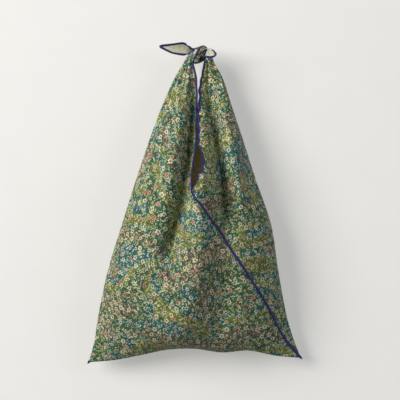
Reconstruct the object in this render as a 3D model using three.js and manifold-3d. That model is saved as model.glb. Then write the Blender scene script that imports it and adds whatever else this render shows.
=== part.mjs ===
// An azuma bag: one strip of printed cotton lawn, cut three times as long as it is wide, folded in
// thirds and closed by two seams. Its two corners stand up as handles, and they are tied in a reef
// knot. The bag hangs empty from that knot on one nail, with its back against a wall.
//
// The frame is in millimetres: +Z up, +X to the right of someone who faces the bag, +Y towards the
// wall. The origin is where the nail bears, under the knot and between the handles.
//
// Every point of the cloth has a place in the flat bag. "up" is 0 on the bottom fold, 1 at the foot
// of each mouth slit and 2 at the tips. "out" is 0 on the centre line or on a slit's free edge, and
// 1 on the side fold. The tables say where that place hangs.
import * as THREE from "three";
import { mergeVertices } from "three/addons/utils/BufferGeometryUtils.js";
import { ConvexGeometry } from "three/addons/geometries/ConvexGeometry.js";
import Module from "manifold-3d";

const wasm = await Module();
wasm.setup();

// Driving dimensions.
const CLOTH = 1.6; // the sheet's thickness, with the lawn's own creases
const MITRE = 2.5; // the longest mitre across a sharp fold, in half thicknesses
const EDGING = 4; // across the overlocked edge
const RIM_GAP = 0.8; // between the edging and the raw edge that it outlines
const SEAM_GAP = 1.1; // between the edging and the seam under it
const KNOT_UP = 1.65; // where the handles go into the knot
const STRAND = 12; // across a handle, gathered for the knot
const FOOT_TURN = 0.05; // the height over which the long edging turns up over the cloth
const SHORT_FOOT = 0.06; // how far above the slit's foot the short edging ends
const SEAM_START = 0.005; // how far below the foot the seam's edging starts
const SEAM_END = 0.025; // how far above the corner it ends
const LONG_FOOT = 0.02; // how far above the foot the slit's own stretch of it ends
const KNOT_END = 0.03; // how far below the knot the slits' edgings start
const EDGING_SIDES = 6; // flats round the edging
const STEP = 1e-3; // the step in up or out over which a direction is measured
const ROWS_BELOW = 22; // rows of facets from the bottom fold to the foot of the slits
const ROWS_ABOVE = 13; // and from there to the knot
const COLUMNS = 10; // columns of facets from the centre line to a side fold

// The two side folds, a row for each height.
const SIDES = [
  { up: 0, leftX: -199, leftZ: -534, rightX: 184, rightZ: -526, y: 12 },
  { up: 0.1, leftX: -189, leftZ: -497, rightX: 171, rightZ: -494, y: 10 },
  { up: 0.25, leftX: -181, leftZ: -447, rightX: 157, rightZ: -446, y: 6 },
  { up: 0.5, leftX: -163, leftZ: -365, rightX: 142, rightZ: -365, y: 0 },
  { up: 0.75, leftX: -138, leftZ: -284, rightX: 129, rightZ: -284, y: -4 },
  { up: 1, leftX: -112, leftZ: -202, rightX: 101, rightZ: -202, y: -4 },
  { up: 1.2, leftX: -90, leftZ: -137, rightX: 80, rightZ: -137, y: -3 },
  { up: 1.4, leftX: -65, leftZ: -71, rightX: 58, rightZ: -71, y: -1 },
  { up: 1.55, leftX: -43, leftZ: -22, rightX: 42, rightZ: -22, y: 1 },
  { up: KNOT_UP, leftX: -25, leftZ: 9, rightX: 25, rightZ: 9, y: 1 },
];

// The middle of the front and of the back. "turn" is how far round the cloth curves from there to
// a side fold, in degrees. Above up = 1 the middle is a slit with two raw edges, which the edging
// outlines: a row for each height. The back is nearly flat against the wall.
const FRONT = {
  outwards: -1,
  middle: [
    { up: 0, x: -7, y: -6, z: -508, turn: 15 },
    { up: 0.1, x: -7, y: -36, z: -496, turn: 50 },
    { up: 0.25, x: -7, y: -63, z: -460, turn: 74 },
    { up: 0.5, x: -8, y: -80, z: -382, turn: 78 },
    { up: 0.75, x: -9, y: -82, z: -302, turn: 78 },
    { up: 1, x: -11, y: -78, z: -221, turn: 76 },
    { up: 1.1, x: -8, y: -72, z: -185, turn: 76 },
    { up: 1.2, x: -4, y: -60, z: -149, turn: 74 },
    { up: 1.4, x: -2, y: -37, z: -79, turn: 70 },
    { up: 1.55, x: -1, y: -17, z: -25, turn: 71 },
    { up: KNOT_UP, x: -1, y: -5.5, z: 9, turn: 76 },
  ],
  slit: [
    { up: 1, leftX: -11, rightX: -11 },
    { up: 1.05, leftX: -16, rightX: 1 },
    { up: 1.1, leftX: -15, rightX: 8 },
    { up: 1.15, leftX: -11, rightX: 10 },
    { up: 1.2, leftX: -9.5, rightX: 4.5 },
    { up: 1.3, leftX: -7, rightX: 3 },
    { up: 1.4, leftX: -6.5, rightX: 3 },
    { up: 1.5, leftX: -6, rightX: 4 },
    { up: 1.58, leftX: -9, rightX: 7.5 },
    { up: KNOT_UP, leftX: -14, rightX: 13 },
  ],
};
const BACK = {
  outwards: 1,
  middle: [
    { up: 0, x: -7, y: -6, z: -508, turn: 15 },
    { up: 0.1, x: -6, y: 8, z: -489, turn: 40 },
    { up: 0.25, x: -4, y: 21, z: -449, turn: 55 },
    { up: 0.5, x: 0, y: 25, z: -367, turn: 55 },
    { up: 0.75, x: 8, y: 25, z: -286, turn: 55 },
    { up: 1, x: 16, y: 24, z: -205, turn: 55 },
    { up: 1.2, x: 12, y: 22, z: -141, turn: 56 },
    { up: 1.4, x: 5, y: 17, z: -76, turn: 60 },
    { up: 1.55, x: 0, y: 12, z: -24, turn: 68 },
    { up: KNOT_UP, x: -1, y: 7.5, z: 9, turn: 76 },
  ],
  slit: [
    { up: 1, leftX: 16, rightX: 16 },
    { up: 1.05, leftX: 11, rightX: 21 },
    { up: 1.2, leftX: 7, rightX: 17 },
    { up: 1.4, leftX: 0, rightX: 10 },
    { up: 1.55, leftX: -7, rightX: 7 },
    { up: KNOT_UP, leftX: -14, rightX: 13 },
  ],
};

// The bottom fold between the corners, which sags unevenly.
const HEM = [
  { across: -1, z: -534 },
  { across: -0.75, z: -529 },
  { across: -0.5, z: -519.5 },
  { across: -0.25, z: -509.5 },
  { across: 0, z: -508 },
  { across: 0.25, z: -514.5 },
  { across: 0.5, z: -511.5 },
  { across: 0.75, z: -521 },
  { across: 1, z: -526 },
];

// Soft folds: each runs from (x1, z1) past (x2, z2) to (x3, z3) and stands "out" from the cloth.
const FOLDS = [
  { fold: "left handle crest", x1: -20, z1: -10, x2: -42, z2: -135, x3: -60, z3: -325, half: 20, out: 12 },
  { fold: "trough by the slit", x1: -11, z1: -60, x2: -18, z2: -180, x3: -54, z3: -322, half: 15, out: -16 },
  { fold: "ridge below the mouth", x1: -9, z1: -235, x2: 23, z2: -350, x3: -25, z3: -440, half: 34, out: 11 },
  { fold: "trough by that ridge", x1: 16, z1: -250, x2: 42, z2: -350, x3: 20, z3: -448, half: 20, out: -7 },
  { fold: "right handle trough", x1: 14, z1: -12, x2: 31, z2: -106, x3: 50, z3: -235, half: 12, out: -10 },
  { fold: "right handle crest", x1: 38, z1: -34, x2: 55, z2: -115, x3: 72, z3: -225, half: 13, out: 8 },
];
const FOLD_STEPS = 12; // points along a fold, where the cloth's distance from it is measured
const FOLD_HEIGHTS = 0.6; // how much a height counts in that distance, next to a width
const SIDE_CALM = 4; // how sharply a fold dies out towards a side fold
const HEM_CALM = 0.12; // the height over which it dies out above the bottom fold
const KNOT_CALM = 0.08; // and below the knot
const HEM_FADE = 3; // how sharply the hem's own waves die out above the bottom fold

// A smooth curve through a table's rows: the value of one column where the key column is at.
function along(rows, key, at, column) {
  const last = rows.length - 1;
  let i = 0;
  while (i < last - 1 && at > rows[i + 1][key]) i++;
  const slope = (j) => {
    const a = rows[Math.max(j - 1, 0)];
    const b = rows[Math.min(j + 1, last)];
    return (b[column] - a[column]) / (b[key] - a[key]);
  };
  const p = rows[i];
  const q = rows[i + 1];
  const span = q[key] - p[key];
  const t = Math.min(Math.max((at - p[key]) / span, 0), 1);
  const ease = t * t * (3 - 2 * t);
  const start = t * (1 - t) * (1 - t);
  const end = t * t * (t - 1);
  return (
    p[column] + ease * (q[column] - p[column]) + span * (start * slope(i) + end * slope(i + 1))
  );
}

const smooth = (t) => {
  const c = Math.min(Math.max(t, 0), 1);
  return c * c * (3 - 2 * c);
};

// How far the folds move the front of the cloth towards the viewer at (x, z).
function foldsAt(x, z) {
  let out = 0;
  for (const f of FOLDS) {
    let nearest = Infinity;
    for (let i = 0; i <= FOLD_STEPS; i++) {
      const t = i / FOLD_STEPS;
      const u = 1 - t;
      const fx = u * u * f.x1 + 2 * u * t * f.x2 + t * t * f.x3;
      const fz = u * u * f.z1 + 2 * u * t * f.z2 + t * t * f.z3;
      nearest = Math.min(nearest, (x - fx) ** 2 + ((z - fz) * FOLD_HEIGHTS) ** 2);
    }
    out += f.out * Math.exp(-nearest / (f.half * f.half));
  }
  return out;
}

// The place of one point of the cloth. face is FRONT or BACK, and side is -1 left or 1 right.
function place(face, side, up, out) {
  const [sideX, sideZ] = side < 0 ? ["leftX", "leftZ"] : ["rightX", "rightZ"];
  const here = (rows, column) => along(rows, "up", up, column);
  const edge = {
    x: up > 1 ? here(face.slit, sideX) : here(face.middle, "x"),
    y: here(face.middle, "y"),
    z: here(face.middle, "z"),
  };
  const fold = { x: here(SIDES, sideX), y: here(SIDES, "y"), z: here(SIDES, sideZ) };
  const turn = THREE.MathUtils.degToRad(here(face.middle, "turn"));
  const reach = Math.sin(out * turn) / Math.sin(turn);
  const rise = (Math.cos(out * turn) - Math.cos(turn)) / (1 - Math.cos(turn));
  const x = edge.x + (fold.x - edge.x) * reach;
  let z = fold.z + (edge.z - fold.z) * (1 - out * out);
  let y = fold.y + (edge.y - fold.y) * rise;
  const hem = (across) => along(HEM, "across", across, "z");
  const straightHem = hem(0) + (hem(side) - hem(0)) * out * out;
  z += (hem(side * out) - straightHem) * Math.max(1 - up, 0) ** HEM_FADE;
  if (face === FRONT)
    y -=
      foldsAt(x, z) *
      (1 - out ** SIDE_CALM) *
      smooth(up / HEM_CALM) *
      smooth((KNOT_UP - up) / KNOT_CALM);
  return new THREE.Vector3(x, y, z);
}

// The cloth's outward direction at that point.
function outward(face, side, up, out) {
  const lowUp = Math.max(up - STEP, 0);
  const highUp = Math.min(up + STEP, KNOT_UP);
  const lowOut = Math.max(out - STEP, 0);
  const highOut = Math.min(out + STEP, 1);
  const alongUp = place(face, side, highUp, out).sub(place(face, side, lowUp, out));
  const alongOut = place(face, side, up, highOut).sub(place(face, side, up, lowOut));
  return alongOut.cross(alongUp).multiplyScalar(-side * face.outwards).normalize();
}

// A surface as a list of points and triangles, with points that meet shared.
function surface() {
  const points = [];
  const triangles = [];
  const index = new Map();
  const at = (p) => {
    const key = [p.x, p.y, p.z].map((v) => v.toFixed(3)).join();
    if (!index.has(key)) index.set(key, points.push(p) - 1);
    return index.get(key);
  };
  const quad = (a, b, c, d) => {
    const [i, j, k, l] = [a, b, c, d].map(at);
    triangles.push([i, j, k], [i, k, l]);
  };
  return { points, triangles, quad };
}

// A surface given the cloth's thickness: an outer skin, an inner skin and a rim along its raw edges.
// Across a fold the skins are mitred, up to MITRE times half the thickness.
function thicken({ points, triangles }) {
  const normals = points.map(() => new THREE.Vector3());
  const angles = points.map(() => 0);
  const edges = new Map();
  for (const t of triangles) {
    const [a, b, c] = t.map((i) => points[i]);
    const normal = b.clone().sub(a).cross(c.clone().sub(a)).normalize();
    for (let k = 0; k < 3; k++) {
      const [here, next, last] = [t[k], t[(k + 1) % 3], t[(k + 2) % 3]];
      const toNext = points[next].clone().sub(points[here]);
      const toLast = points[last].clone().sub(points[here]);
      const angle = toNext.angleTo(toLast);
      normals[here].addScaledVector(normal, angle);
      angles[here] += angle;
      edges.set(here + "_" + next, [here, next]);
    }
  }
  const half = CLOTH / 2;
  const skin = (sign) =>
    points.map((p, i) => {
      const mitre = Math.min(angles[i] / normals[i].length(), MITRE);
      return p.clone().addScaledVector(normals[i].clone().normalize(), sign * half * mitre);
    });
  const position = [...skin(1), ...skin(-1)].flatMap((p) => [p.x, p.y, p.z]);
  const inner = points.length;
  const faces = triangles.flatMap(([a, b, c]) => [a, b, c, inner + a, inner + c, inner + b]);
  for (const [a, b] of edges.values())
    if (!edges.has(b + "_" + a)) faces.push(b, a, inner + a, b, inner + a, inner + b);
  const geometry = new THREE.BufferGeometry();
  geometry.setAttribute("position", new THREE.Float32BufferAttribute(position, 3));
  return geometry.setIndex(faces);
}

// The sewn bag up to the knot, as four quarters that share their points where they meet.
function bagSurface() {
  const sewn = surface();
  const heights = [];
  for (let j = 0; j < ROWS_BELOW; j++) heights.push(j / ROWS_BELOW);
  for (let j = 0; j <= ROWS_ABOVE; j++) heights.push(1 + ((KNOT_UP - 1) * j) / ROWS_ABOVE);
  for (const face of [FRONT, BACK])
    for (const side of [-1, 1]) {
      const faced = side * face.outwards < 0;
      for (let j = 0; j < heights.length - 1; j++)
        for (let i = 0; i < COLUMNS; i++) {
          const [a, b] = [i / COLUMNS, (i + 1) / COLUMNS];
          const near = place(face, side, heights[j], a);
          const far = place(face, side, heights[j], b);
          const farUp = place(face, side, heights[j + 1], b);
          const nearUp = place(face, side, heights[j + 1], a);
          // Both orders split the cell along the line from far to nearUp, which is the seam's way.
          if (faced) sewn.quad(far, farUp, nearUp, near);
          else sewn.quad(nearUp, farUp, far, near);
        }
    }
  return sewn;
}

// A closed geometry as a solid that can be joined to others, and back again.
const bareOf = (geometry) => {
  const bare = geometry.clone();
  bare.deleteAttribute("normal");
  bare.deleteAttribute("uv");
  return mergeVertices(bare, 1e-4);
};
const solidOf = (geometry) => {
  const merged = bareOf(geometry);
  return new wasm.Manifold(
    new wasm.Mesh({
      numProp: 3,
      vertProperties: merged.attributes.position.array,
      triVerts: new Uint32Array(merged.index.array),
    }),
  );
};
const geometryOf = (solid) => {
  const mesh = solid.getMesh();
  const geometry = new THREE.BufferGeometry();
  geometry.setAttribute("position", new THREE.BufferAttribute(new Float32Array(mesh.vertProperties), 3));
  return geometry.setIndex(new THREE.BufferAttribute(new Uint32Array(mesh.triVerts), 1));
};

// A round section swept along a smooth curve.
function sweep(points, diameter, sides, steps) {
  const section = new THREE.Shape();
  for (let i = 0; i < sides; i++) {
    const angle = (2 * Math.PI * i) / sides;
    const [x, y] = [(diameter / 2) * Math.cos(angle), (diameter / 2) * Math.sin(angle)];
    if (i) section.lineTo(x, y);
    else section.moveTo(x, y);
  }
  section.closePath();
  const extrudePath = new THREE.CatmullRomCurve3(points, false, "centripetal");
  return new THREE.ExtrudeGeometry(section, { steps, extrudePath, curveSegments: 1 });
}

// The reef knot leans to the right. "out" is from its middle towards the side that the strand comes
// from, "over" is above its middle, and "front" is towards the viewer for the right strand and
// towards the wall for the left one. Each strand goes in below, round the other and out above.
const KNOT = { x: 4, z: 19.5, lean: 20, beads: 17 };
const COURSE = [
  { out: 9, front: 6.5, over: -7 },
  { out: 3.5, front: 0, over: -8 },
  { out: -1, front: -6, over: -9.5 },
  { out: -5.5, front: -3, over: -11 },
  { out: -9, front: 4, over: -8.5 },
  { out: -10, front: 7, over: 0 },
  { out: -9, front: 4, over: 8.5 },
  { out: -5.5, front: -3, over: 11 },
  { out: -1, front: -6, over: 9.5 },
  { out: 3.5, front: 0, over: 7.5 },
  { out: 9, front: 6.5, over: 6.5 },
  { out: 15, front: 7, over: 5.5 },
];
// Where each strand leaves the gathered top of its handle.
const HANDLE_TOPS = {
  left: [
    { x: -18.5, y: 1, z: 3 },
    { x: -18, y: 2, z: 8 },
  ],
  right: [
    { x: 18.5, y: 1, z: 3 },
    { x: 17.5, y: -1.5, z: 6 },
  ],
};

// A strand is joined from the hulls of neighbouring beads, because it bends more tightly than it is
// thick, and a swept section would cut into itself there.
function strand(side) {
  const lean = THREE.MathUtils.degToRad(KNOT.lean);
  const handleTop = side < 0 ? HANDLE_TOPS.left : HANDLE_TOPS.right;
  const course = handleTop.map(({ x, y, z }) => new THREE.Vector3(x, y, z));
  for (const { out, front, over } of COURSE)
    course.push(
      new THREE.Vector3(
        KNOT.x + side * out * Math.cos(lean) + over * Math.sin(lean),
        -side * front,
        KNOT.z - side * out * Math.sin(lean) + over * Math.cos(lean),
      ),
    );
  const { position } = bareOf(new THREE.IcosahedronGeometry(STRAND / 2, 1)).attributes;
  const bead = [];
  for (let i = 0; i < position.count; i++)
    bead.push(new THREE.Vector3().fromBufferAttribute(position, i));
  const beads = new THREE.CatmullRomCurve3(course, false, "centripetal")
    .getSpacedPoints(KNOT.beads)
    .map((middle) => bead.map((p) => p.clone().add(middle)));
  return beads
    .slice(1)
    .map((points, i) => solidOf(new ConvexGeometry([...beads[i], ...points])))
    .reduce((whole, link) => whole.add(link));
}

// The two free ends, which show the reverse of the cloth. Each row is one section of the
// leaf-shaped corner: its middle, and half its width along (wideX, wideY, wideZ). "cup" is how far
// the middle lies from the chord, along the tail's own (cupX, cupY).
const TAILS = {
  left: {
    cupX: 0,
    cupY: 1,
    rows: [
      { x: -6, y: 6, z: 29, wideX: 0.5, wideY: 1, wideZ: 2.5, cup: 0 },
      { x: -13, y: 5, z: 28.8, wideX: 0.5, wideY: 0.5, wideZ: 3, cup: 0.5 },
      { x: -20, y: 2, z: 29.5, wideX: 0.5, wideY: 0, wideZ: 5, cup: 2 },
      { x: -28, y: -1, z: 31, wideX: 0.5, wideY: 0, wideZ: 8.5, cup: 4 },
      { x: -38, y: -3, z: 31, wideX: 0.5, wideY: 0, wideZ: 8, cup: 4 },
      { x: -49, y: -3, z: 31, wideX: 0, wideY: 0, wideZ: 6.5, cup: 3 },
      { x: -60, y: -1, z: 32.5, wideX: 0, wideY: 0, wideZ: 3.5, cup: 1.5 },
      { x: -67, y: 1.5, z: 34.5, wideX: 0, wideY: 0, wideZ: 1.5, cup: 0 },
    ],
  },
  right: {
    cupX: 0.85,
    cupY: 0.5,
    rows: [
      { x: 13, y: -6, z: 23.5, wideX: -0.5, wideY: -0.5, wideZ: 3, cup: 0 },
      { x: 18, y: -9, z: 23, wideX: 0, wideY: -0.5, wideZ: 3.5, cup: 0.5 },
      { x: 22, y: -15, z: 22, wideX: 1, wideY: 0, wideZ: 5.5, cup: 2 },
      { x: 25, y: -23, z: 21, wideX: 1.5, wideY: 0, wideZ: 6.5, cup: 3 },
      { x: 27, y: -32, z: 19.5, wideX: 1.5, wideY: 0, wideZ: 5.5, cup: 2 },
      { x: 28.5, y: -41, z: 18.5, wideX: 1, wideY: 0, wideZ: 3, cup: 1 },
      { x: 29.5, y: -48, z: 18, wideX: 0.2, wideY: 0, wideZ: 1.5, cup: 0 },
    ],
  },
};
const TAIL_COLUMNS = 6;
const TAIL_ROWS = 12;
const TAIL_EDGING_FROM = 0.3; // how far along a tail its edging starts, clear of the knot
const TAIL_EDGING_STEPS = 9; // points of the edging along each side of a tail
const TIP_ROOM = 1.5; // how far past the tip the edging turns back, in widths of the edging
const INSIDE_RIM = 0.8; // a point across the tail, from which its rim's outward way is measured
const BEFORE_TIP = 0.95; // a point along the tail, from which the tip's way is measured

function tailPoint(tail, share, across) {
  const at = share * (tail.rows.length - 1);
  const numbered = tail.rows.map((row, index) => ({ ...row, index }));
  const value = (column) => along(numbered, "index", at, column);
  const cup = value("cup") * (1 - across * across);
  return new THREE.Vector3(
    value("x") + across * value("wideX") + cup * tail.cupX,
    value("y") + across * value("wideY") + cup * tail.cupY,
    value("z") + across * value("wideZ"),
  );
}

function tailSurface(tail) {
  const leaf = surface();
  for (let j = 0; j < TAIL_ROWS; j++)
    for (let i = 0; i < TAIL_COLUMNS; i++) {
      const [low, high] = [i, i + 1].map((k) => (2 * k) / TAIL_COLUMNS - 1);
      const [near, far] = [j / TAIL_ROWS, (j + 1) / TAIL_ROWS];
      leaf.quad(
        tailPoint(tail, near, low),
        tailPoint(tail, far, low),
        tailPoint(tail, far, high),
        tailPoint(tail, near, high),
      );
    }
  return leaf;
}

// The line of the edging round a tail: out along one raw edge, past the tip and back.
function tailEdge(tail) {
  const beside = (k, sign) => {
    const share = TAIL_EDGING_FROM + ((1 - TAIL_EDGING_FROM) * k) / TAIL_EDGING_STEPS;
    const rim = tailPoint(tail, share, sign);
    const outwards = rim.clone().sub(tailPoint(tail, share, sign * INSIDE_RIM)).normalize();
    return rim.addScaledVector(outwards, RIM_GAP + EDGING / 2);
  };
  const tip = tailPoint(tail, 1, 0);
  const onwards = tip.clone().sub(tailPoint(tail, BEFORE_TIP, 0)).normalize();
  const line = [tip.addScaledVector(onwards, TIP_ROOM * EDGING)];
  for (let k = TAIL_EDGING_STEPS; k >= 0; k--) {
    line.push(beside(k, 1));
    line.unshift(beside(k, -1));
  }
  return line;
}

// The line of the edging along one raw edge of a slit, from the knot to the slit's foot. It runs
// just beyond the cloth. A long edge then turns up over the cloth at the foot and follows the seam
// to the bag's corner.
function slitEdge(face, side, hasSeam) {
  const beyondRim = RIM_GAP + EDGING / 2;
  const aboveCloth = CLOTH / 2 + SEAM_GAP + EDGING / 2;
  const line = [];
  const onRim = (up) => {
    const onwards = place(face, side, up + STEP, 0).sub(place(face, side, up - STEP, 0));
    const normal = outward(face, side, up, 0);
    const beyond = normal.clone().cross(onwards).multiplyScalar(-side * face.outwards).normalize();
    const turned = (Math.PI / 2) * smooth((FOOT_TURN - (up - 1)) / FOOT_TURN);
    const lift = beyondRim + (aboveCloth - beyondRim) * Math.sin(turned);
    return place(face, side, up, 0)
      .addScaledVector(beyond, lift * Math.cos(turned))
      .addScaledVector(normal, lift * Math.sin(turned));
  };
  const top = KNOT_UP - KNOT_END;
  const foot = 1 + (hasSeam ? LONG_FOOT : SHORT_FOOT);
  const slitSteps = 15;
  for (let k = 0; k <= slitSteps; k++) line.push(onRim(top + ((foot - top) * k) / slitSteps));
  const seamTop = 1 - SEAM_START;
  const seamSteps = 19;
  if (hasSeam)
    for (let k = 0; k <= seamSteps; k++) {
      const up = seamTop - ((seamTop - SEAM_END) * k) / seamSteps;
      const normal = outward(face, -side, up, 1 - up);
      line.push(place(face, -side, up, 1 - up).addScaledVector(normal, aboveCloth));
    }
  return line;
}

// The whole strip of cloth: the bag, the two gathered strands of the knot and the two free ends.
function clothSolid() {
  const sheets = [bagSurface(), tailSurface(TAILS.left), tailSurface(TAILS.right)];
  const solids = [...sheets.map(thicken).map(solidOf), strand(-1), strand(1)];
  return geometryOf(solids.reduce((whole, solid) => whole.add(solid)));
}

const matt = (color, roughness) =>
  new THREE.MeshStandardMaterial({ color, roughness, metalness: 0 });
const printedLawn = matt(0x5d7052, 0.85);
const purpleThread = matt(0x2f1f66, 0.7);

const bag = new THREE.Group();
function piece(name, geometry, material) {
  const mesh = new THREE.Mesh(geometry, material);
  mesh.name = name;
  bag.add(mesh);
}

const edging = (line) => sweep(line, EDGING, EDGING_SIDES, line.length + 4);
piece("bag_cloth", clothSolid(), printedLawn);
piece("edging_long_front", edging(slitEdge(FRONT, -1, true)), purpleThread);
piece("edging_short_front", edging(slitEdge(FRONT, 1, false)), purpleThread);
piece("edging_long_back", edging(slitEdge(BACK, 1, true)), purpleThread);
piece("edging_short_back", edging(slitEdge(BACK, -1, false)), purpleThread);
piece("edging_left_tail", edging(tailEdge(TAILS.left)), purpleThread);
piece("edging_right_tail", edging(tailEdge(TAILS.right)), purpleThread);

export default bag;
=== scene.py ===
# %% [markdown]
# # An azuma bag
# An azuma bag is one strip of cloth, three times as long as it is wide. It is folded in thirds and
# closed by two seams, so that two corners stand up as handles. Here the handles are tied in a reef
# knot, and the empty bag hangs from the knot against a wall. The dimensions come from the CAD
# model, which loads as a fixed frame. Blender adds the cloth's folds, its print and its purple
# edging.

# %% Load the frame
import math

import bpy
import numpy as np
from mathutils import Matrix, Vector, noise


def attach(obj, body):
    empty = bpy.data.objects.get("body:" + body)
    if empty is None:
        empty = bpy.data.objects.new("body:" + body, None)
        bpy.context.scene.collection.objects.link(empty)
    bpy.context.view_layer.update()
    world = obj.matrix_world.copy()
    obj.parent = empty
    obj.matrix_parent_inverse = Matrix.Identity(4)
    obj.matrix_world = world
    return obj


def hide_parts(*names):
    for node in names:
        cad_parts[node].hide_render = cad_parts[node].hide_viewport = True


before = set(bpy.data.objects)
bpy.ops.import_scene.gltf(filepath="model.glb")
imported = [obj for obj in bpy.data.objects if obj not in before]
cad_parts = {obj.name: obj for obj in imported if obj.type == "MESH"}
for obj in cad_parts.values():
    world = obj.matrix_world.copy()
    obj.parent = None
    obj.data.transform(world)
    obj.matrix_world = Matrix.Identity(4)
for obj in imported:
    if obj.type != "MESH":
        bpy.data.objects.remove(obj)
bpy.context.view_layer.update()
bpy.ops.object.select_all(action="DESELECT")
MM = 0.001
print("nodes:", sorted(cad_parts))

# %% [markdown]
# ## The camera
# The bag is seen straight on, from a few metres away, so a long lens keeps it free of perspective.
# The picture is square, and its side covers 72 cm of the plane that the knot hangs in.

# %% The camera
VIEW_WIDTH = 0.72
VIEW_CENTRE = Vector((0.0018, 0, -0.241))
CAMERA_DISTANCE = 2.6
bpy.ops.object.camera_add(
    location=VIEW_CENTRE - Vector((0, CAMERA_DISTANCE, 0)), rotation=(math.radians(90), 0, 0)
)
camera = bpy.context.object
camera.data.lens = camera.data.sensor_width * CAMERA_DISTANCE / VIEW_WIDTH
bpy.context.scene.camera = camera
bpy.context.scene.view_settings.view_transform = "Standard"
print("lens:", round(camera.data.lens), "mm")

# %% [markdown]
# ## The tables that the cloth hangs by
# Each point of the cloth has a place in the flat bag. "up" is 0 on the bottom fold, 1 at the foot
# of the slits and 2 at the tips of the handles. "out" is 0 on the middle line or a slit's raw edge,
# and 1 on a side fold. The tables say, in millimetres, where each place hangs, as in the CAD
# source. A table of a few rows is easier to correct than a sculpted mesh, and it gives the same bag
# each time.

# %% Side folds
SIDES = {
    "up": [0, 0.1, 0.25, 0.5, 0.75, 1, 1.2, 1.4, 1.55, 1.65],
    "left_x": [-199, -189, -181, -163, -138, -112, -90, -65, -43, -25],
    "left_z": [-534, -497, -447, -365, -284, -202, -137, -71, -22, 9],
    "right_x": [184, 171, 157, 142, 129, 101, 80, 58, 42, 25],
    "right_z": [-526, -494, -446, -365, -284, -202, -137, -71, -22, 9],
    "y": [12, 10, 6, 0, -4, -4, -3, -1, 1, 1],
}
KNOT_UP = SIDES["up"][-1]
print("the handles go into the knot at up =", KNOT_UP)

# %% Front and back
# "turn" is how far round the cloth curves from its middle to a side fold, in degrees. The front
# billows towards the viewer, and the back lies almost flat against the wall. "slit_up" has rows of
# its own for the slit's left and right edge, which need more places than the face.
FRONT = {
    "outwards": -1,
    "up": [0, 0.1, 0.25, 0.5, 0.75, 1, 1.1, 1.2, 1.4, 1.55, 1.65],
    "x": [-7, -7, -7, -8, -9, -11, -8, -4, -2, -1, -1],
    "y": [-6, -36, -65, -83, -83, -76, -71, -60, -37, -17, -5.5],
    "z": [-508, -496, -460, -382, -302, -225, -187, -149, -79, -25, 9],
    "turn": [15, 50, 74, 78, 78, 76, 76, 74, 70, 71, 76],
    "slit_up": [1, 1.05, 1.1, 1.15, 1.2, 1.25, 1.3, 1.4, 1.46, 1.5, 1.58, 1.65],
    "left_x": [-11, -11.8, -9.8, -6.4, -4.2, -2.9, -2.3, -2.2, -3.3, -3, -6, -12],
    "right_x": [-11, -1.5, 5.2, 6.8, 2.2, 0.9, 0.7, 0.2, 0.8, 0.2, 5, 10],
}
BACK = {
    "outwards": 1,
    "up": [0, 0.1, 0.25, 0.5, 0.75, 1, 1.2, 1.4, 1.55, 1.65],
    "x": [-7, -6, -4, 0, 8, 16, 12, 5, 0, -1],
    "y": [-6, 8, 21, 25, 25, 24, 22, 17, 12, 7.5],
    "z": [-508, -489, -449, -367, -286, -205, -141, -76, -24, 9],
    "turn": [15, 40, 55, 55, 55, 55, 56, 60, 68, 76],
    "slit_up": [1, 1.05, 1.2, 1.35, 1.45, 1.55, 1.65],
    "left_x": [16, 13.5, 8, 0, -4.5, -6.5, -12],
    "right_x": [16, 18.5, 14.5, 9, 6, 4.5, 10],
}
HEM = {  # the bottom fold between the corners sags unevenly
    "across": [-1, -0.75, -0.5, -0.25, 0, 0.25, 0.5, 0.75, 1],
    "z": [-534, -529, -519.5, -509.5, -508, -514.5, -511.5, -521, -526],
}
HEM_FADE = 3  # how sharply its waves die out above it
print("depth at the foot of the slits:", BACK["y"][5] - FRONT["y"][5], "mm")


# %% Read a table smoothly
def curve(table, key, column, at):
    """The value of one column where the key column is at, on a smooth curve through the rows."""
    keys, values = np.array(table[key], float), np.array(table[column], float)
    rows = np.arange(len(keys))
    before, after = np.maximum(rows - 1, 0), np.minimum(rows + 1, len(keys) - 1)
    slopes = (values[after] - values[before]) / (keys[after] - keys[before])
    i = np.clip(np.searchsorted(keys, at, side="right") - 1, 0, len(keys) - 2)
    span = keys[i + 1] - keys[i]
    t = np.clip((at - keys[i]) / span, 0, 1)
    ease, start, end = t * t * (3 - 2 * t), t * (1 - t) ** 2, t * t * (t - 1)
    return (
        values[i]
        + ease * (values[i + 1] - values[i])
        + span * (start * slopes[i] + end * slopes[i + 1])
    )


def smooth(t):
    """0 up to t = 0 and 1 from t = 1, with a soft step between."""
    t = np.clip(t, 0, 1)
    return t * t * (3 - 2 * t)


print("half way up, the left side fold is at x =", round(float(curve(SIDES, "up", "left_x", 0.9))))
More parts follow.
